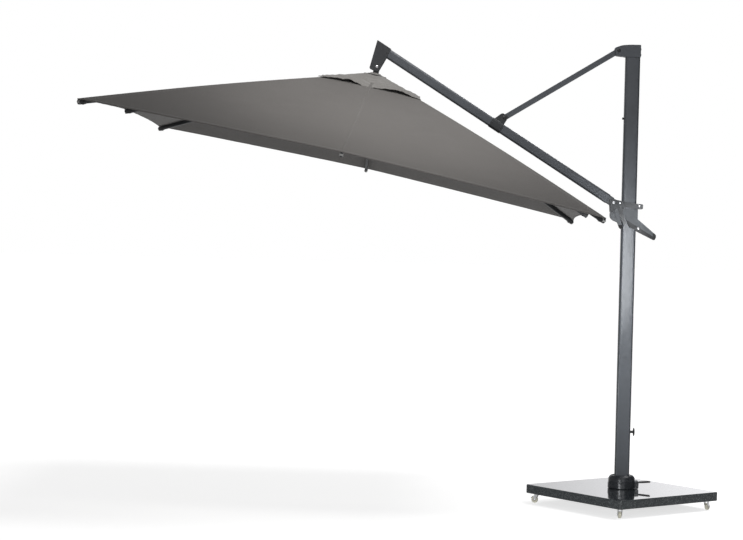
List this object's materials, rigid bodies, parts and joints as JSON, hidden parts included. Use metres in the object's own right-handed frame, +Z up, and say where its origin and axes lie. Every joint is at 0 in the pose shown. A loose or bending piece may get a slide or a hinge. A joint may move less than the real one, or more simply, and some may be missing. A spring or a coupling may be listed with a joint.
{
  "type": "cantilever parasol",
  "caption": "Cantilever parasol: side mast with sliding carriage, boom, square ribbed canopy with vent flap, swivel foot on a granite slab with castors.",
  "frame": {"origin": "on the floor, on the swivel axis of the mast", "axes": "+Z up the mast; the boom and canopy reach along -X; +X points behind the mast"},
  "size_m": [3.7908, 3, 2.8893],
  "materials": {
    "frame": "anthracite powder coat, fine satin texture",
    "dark_frame": "dark powder coat, satin",
    "black_plastic": "black nylon, satin with a fine grain",
    "granite": "dark speckled granite, top polished to a mirror",
    "chrome": "bright chrome plate",
    "steel": "zinc-plated steel",
    "nylon": "cream nylon, satin",
    "grey_plastic": "mid-grey moulded nylon, satin",
    "fabric": "taupe-grey woven polyester, matt"
  },
  "bodies": {
    "base": {"granite_slab": "granite", "foot_socket": "black_plastic", "foot_cover": "black_plastic", "castor_plate_1": "steel", "castor_plate_2": "steel", "castor_plate_3": "steel", "castor_plate_4": "steel"},
    "mast": {"mast": "frame", "swivel_collar": "black_plastic", "mast_cap": "frame", "mast_bumper": "black_plastic", "strut_top_bolt": "steel"},
    "knob": {"mast_knob": "black_plastic"},
    "pedal": {"foot_pedal": "black_plastic"},
    "strut": {"strut": "frame"},
    "boom": {"boom": "frame", "boom_foot_fitting": "grey_plastic", "boom_clevis": "dark_frame", "boom_end_bracket": "dark_frame", "strut_foot_bolt": "steel", "hub_pivot_bolt": "steel"},
    "carriage": {"carriage_plate_front": "dark_frame", "carriage_plate_back": "dark_frame", "boom_foot_bolt": "steel", "front_cross_bolt": "steel", "rear_roller_bolt": "steel", "slider_handle": "grey_plastic", "handle_bolt": "steel", "latch_housing": "grey_plastic"},
    "rear_roller": {"rear_roller": "black_plastic"},
    "lower_roller": {"lower_roller": "black_plastic"},
    "trigger": {"release_trigger": "grey_plastic"},
    "crown": {"crown": "black_plastic", "canopy": "fabric", "vent_flap": "fabric"},
    "runner": {"runner": "black_plastic"},
    "castor_1": {"castor_fork_1": "chrome"},
    "wheel_1": {"castor_wheel_1": "nylon"},
    "castor_2": {"castor_fork_2": "chrome"},
    "wheel_2": {"castor_wheel_2": "nylon"},
    "castor_3": {"castor_fork_3": "chrome"},
    "wheel_3": {"castor_wheel_3": "nylon"},
    "castor_4": {"castor_fork_4": "chrome"},
    "wheel_4": {"castor_wheel_4": "nylon"},
    "rib_1": {"rib_1": "dark_frame"},
    "stretcher_1": {"stretcher_1": "dark_frame"},
    "rib_2": {"rib_2": "dark_frame"},
    "stretcher_2": {"stretcher_2": "dark_frame"},
    "rib_3": {"rib_3": "dark_frame"},
    "stretcher_3": {"stretcher_3": "dark_frame"},
    "rib_4": {"rib_4": "dark_frame"},
    "stretcher_4": {"stretcher_4": "dark_frame"},
    "rib_5": {"rib_5": "dark_frame"},
    "stretcher_5": {"stretcher_5": "dark_frame"},
    "rib_6": {"rib_6": "dark_frame"},
    "stretcher_6": {"stretcher_6": "dark_frame"},
    "rib_7": {"rib_7": "dark_frame"},
    "stretcher_7": {"stretcher_7": "dark_frame"},
    "rib_8": {"rib_8": "dark_frame"},
    "stretcher_8": {"stretcher_8": "dark_frame"}
  },
  "joints": [
    {"name": "castor_1_swivel", "type": "hinge", "parent": "base", "child": "castor_1", "pos_m": [-0.04873, -0.52525, 0.05], "axis": [0, 0, 1], "continuous": true},
    {"name": "castor_1_roll", "type": "hinge", "parent": "castor_1", "child": "wheel_1", "pos_m": [-0.04986, -0.5123, 0.02], "axis": [-0.9962, -0.0872, 0], "continuous": true},
    {"name": "castor_2_swivel", "type": "hinge", "parent": "base", "child": "castor_2", "pos_m": [-0.52525, 0.04873, 0.05], "axis": [0, 0, 1], "continuous": true},
    {"name": "castor_2_roll", "type": "hinge", "parent": "castor_2", "child": "wheel_2", "pos_m": [-0.53746, 0.05317, 0.02], "axis": [-0.342, -0.9397, 0], "continuous": true},
    {"name": "castor_3_swivel", "type": "hinge", "parent": "base", "child": "castor_3", "pos_m": [0.04873, 0.52525, 0.05], "axis": [0, 0, 1], "continuous": true},
    {"name": "castor_3_roll", "type": "hinge", "parent": "castor_3", "child": "wheel_3", "pos_m": [0.06051, 0.53074, 0.02], "axis": [-0.4226, 0.9063, 0], "continuous": true},
    {"name": "castor_4_swivel", "type": "hinge", "parent": "base", "child": "castor_4", "pos_m": [0.52525, -0.04873, 0.05], "axis": [0, 0, 1], "continuous": true},
    {"name": "castor_4_roll", "type": "hinge", "parent": "castor_4", "child": "wheel_4", "pos_m": [0.5336, -0.03877, 0.02], "axis": [-0.766, 0.6428, 0], "continuous": true},
    {"name": "pedal_press", "type": "hinge", "parent": "base", "child": "pedal", "pos_m": [0.097, 0, 0.153], "axis": [0, 1, 0], "range_deg": [0, 10], "stiffness_Nm_per_rad": 20, "springref_deg": -2.86},
    {"name": "mast_swivel", "type": "hinge", "parent": "base", "child": "mast", "pos_m": [0, 0, 0.16], "axis": [0, 0, 1], "continuous": true},
    {"name": "knob_turn", "type": "hinge", "parent": "mast", "child": "knob", "pos_m": [0.06, 0, 0.47], "axis": [1, 0, 0], "range_deg": [0, 170]},
    {"name": "strut_hinge", "type": "hinge", "parent": "mast", "child": "strut", "pos_m": [-0.089, 0, 2.852], "axis": [0, 1, 0], "range_deg": [-53.34, 0], "deforming": ["canopy", "vent_flap"]},
    {"name": "boom_hinge", "type": "hinge", "parent": "strut", "child": "boom", "pos_m": [-0.78922, 0, 2.42024], "axis": [0, 1, 0], "range_deg": [0, 101.99]},
    {"name": "carriage_hinge", "type": "hinge", "parent": "boom", "child": "carriage", "pos_m": [-0.098, 0, 1.904], "axis": [0, 1, 0], "range_deg": [-48.65, 0]},
    {"name": "canopy_tilt", "type": "hinge", "parent": "boom", "child": "crown", "pos_m": [-1.59662, 0, 2.7201], "axis": [0, 1, 0], "range_deg": [-60.11, 0]},
    {"name": "rear_roller_spin", "type": "hinge", "parent": "carriage", "child": "rear_roller", "pos_m": [0.062, 0, 1.884], "axis": [0, 1, 0], "continuous": true},
    {"name": "lower_roller_spin", "type": "hinge", "parent": "carriage", "child": "lower_roller", "pos_m": [0.06, 0, 1.744], "axis": [0, 1, 0], "continuous": true},
    {"name": "trigger_squeeze", "type": "hinge", "parent": "carriage", "child": "trigger", "pos_m": [-0.082, 0, 1.853], "axis": [0, -1, 0], "range_deg": [0, 4], "stiffness_Nm_per_rad": 10, "springref_deg": -2.86},
    {"name": "rib_1_hinge", "type": "hinge", "parent": "crown", "child": "rib_1", "pos_m": [-1.6662, 0, 2.6587], "axis": [0, -1, 0], "range_deg": [0, 69.18]},
    {"name": "stretcher_1_hinge", "type": "hinge", "parent": "rib_1", "child": "stretcher_1", "pos_m": [-2.27867, 0, 2.55775], "axis": [0, -1, 0], "range_deg": [-138.36, 0]},
    {"name": "rib_2_hinge", "type": "hinge", "parent": "crown", "child": "rib_2", "pos_m": [-1.65013, -0.0396, 2.65544], "axis": [0.693, -0.7071, -0.1405], "range_deg": [0, 74.19]},
    {"name": "stretcher_2_hinge", "type": "hinge", "parent": "rib_2", "child": "stretcher_2", "pos_m": [-2.04664, -0.41379, 2.58288], "axis": [0.693, -0.7071, -0.1405], "range_deg": [-148.37, 0]},
    {"name": "runner_hinge", "type": "hinge", "parent": "stretcher_2", "child": "runner", "pos_m": [-1.70969, -0.0396, 2.36163], "axis": [0.693, -0.7071, -0.1405], "range_deg": [0, 74.19]},
    {"name": "rib_3_hinge", "type": "hinge", "parent": "crown", "child": "rib_3", "pos_m": [-1.61132, -0.056, 2.64757], "axis": [0.9801, 0, -0.1987], "range_deg": [0, 69.18]},
    {"name": "stretcher_3_hinge", "type": "hinge", "parent": "rib_3", "child": "stretcher_3", "pos_m": [-1.65516, -0.6362, 2.43134], "axis": [0.9801, 0, -0.1987], "range_deg": [-138.36, 0]},
    {"name": "rib_4_hinge", "type": "hinge", "parent": "crown", "child": "rib_4", "pos_m": [-1.57251, -0.0396, 2.63971], "axis": [0.693, 0.7071, -0.1405], "range_deg": [0, 74.19]},
    {"name": "stretcher_4_hinge", "type": "hinge", "parent": "rib_4", "child": "stretcher_4", "pos_m": [-1.23557, -0.41379, 2.41845], "axis": [0.693, 0.7071, -0.1405], "range_deg": [-148.37, 0]},
    {"name": "rib_5_hinge", "type": "hinge", "parent": "crown", "child": "rib_5", "pos_m": [-1.55644, 0, 2.63645], "axis": [0, 1, 0], "range_deg": [0, 69.18]},
    {"name": "stretcher_5_hinge", "type": "hinge", "parent": "rib_5", "child": "stretcher_5", "pos_m": [-1.03164, 0, 2.30494], "axis": [0, 1, 0], "range_deg": [-138.36, 0]},
    {"name": "rib_6_hinge", "type": "hinge", "parent": "crown", "child": "rib_6", "pos_m": [-1.57251, 0.0396, 2.63971], "axis": [-0.693, 0.7071, 0.1405], "range_deg": [0, 74.19]},
    {"name": "stretcher_6_hinge", "type": "hinge", "parent": "rib_6", "child": "stretcher_6", "pos_m": [-1.23557, 0.41379, 2.41845], "axis": [-0.693, 0.7071, 0.1405], "range_deg": [-148.37, 0]},
    {"name": "rib_7_hinge", "type": "hinge", "parent": "crown", "child": "rib_7", "pos_m": [-1.61132, 0.056, 2.64757], "axis": [-0.9801, 0, 0.1987], "range_deg": [0, 69.18]},
    {"name": "stretcher_7_hinge", "type": "hinge", "parent": "rib_7", "child": "stretcher_7", "pos_m": [-1.65516, 0.6362, 2.43134], "axis": [-0.9801, 0, 0.1987], "range_deg": [-138.36, 0]},
    {"name": "rib_8_hinge", "type": "hinge", "parent": "crown", "child": "rib_8", "pos_m": [-1.65013, 0.0396, 2.65544], "axis": [-0.693, -0.7071, 0.1405], "range_deg": [0, 74.19]},
    {"name": "stretcher_8_hinge", "type": "hinge", "parent": "rib_8", "child": "stretcher_8", "pos_m": [-2.04664, 0.41379, 2.58288], "axis": [-0.693, -0.7071, 0.1405], "range_deg": [-148.37, 0]}
  ],
  "couplings": [
    {"joint": "boom_hinge", "follows": "strut_hinge", "ratio": -1.912},
    {"joint": "carriage_hinge", "follows": "strut_hinge", "ratio": 0.912},
    {"joint": "canopy_tilt", "follows": "strut_hinge", "ratio": 1.1268},
    {"joint": "rib_1_hinge", "follows": "strut_hinge", "ratio": -1.2969},
    {"joint": "stretcher_1_hinge", "follows": "strut_hinge", "ratio": 2.5938},
    {"joint": "rib_2_hinge", "follows": "strut_hinge", "ratio": -1.3907},
    {"joint": "stretcher_2_hinge", "follows": "strut_hinge", "ratio": 2.7815},
    {"joint": "runner_hinge", "follows": "strut_hinge", "ratio": -1.3907},
    {"joint": "rib_3_hinge", "follows": "strut_hinge", "ratio": -1.2969},
    {"joint": "stretcher_3_hinge", "follows": "strut_hinge", "ratio": 2.5938},
    {"joint": "rib_4_hinge", "follows": "strut_hinge", "ratio": -1.3907},
    {"joint": "stretcher_4_hinge", "follows": "strut_hinge", "ratio": 2.7815},
    {"joint": "rib_5_hinge", "follows": "strut_hinge", "ratio": -1.2969},
    {"joint": "stretcher_5_hinge", "follows": "strut_hinge", "ratio": 2.5938},
    {"joint": "rib_6_hinge", "follows": "strut_hinge", "ratio": -1.3907},
    {"joint": "stretcher_6_hinge", "follows": "strut_hinge", "ratio": 2.7815},
    {"joint": "rib_7_hinge", "follows": "strut_hinge", "ratio": -1.2969},
    {"joint": "stretcher_7_hinge", "follows": "strut_hinge", "ratio": 2.5938},
    {"joint": "rib_8_hinge", "follows": "strut_hinge", "ratio": -1.3907},
    {"joint": "stretcher_8_hinge", "follows": "strut_hinge", "ratio": 2.7815}
  ]
}
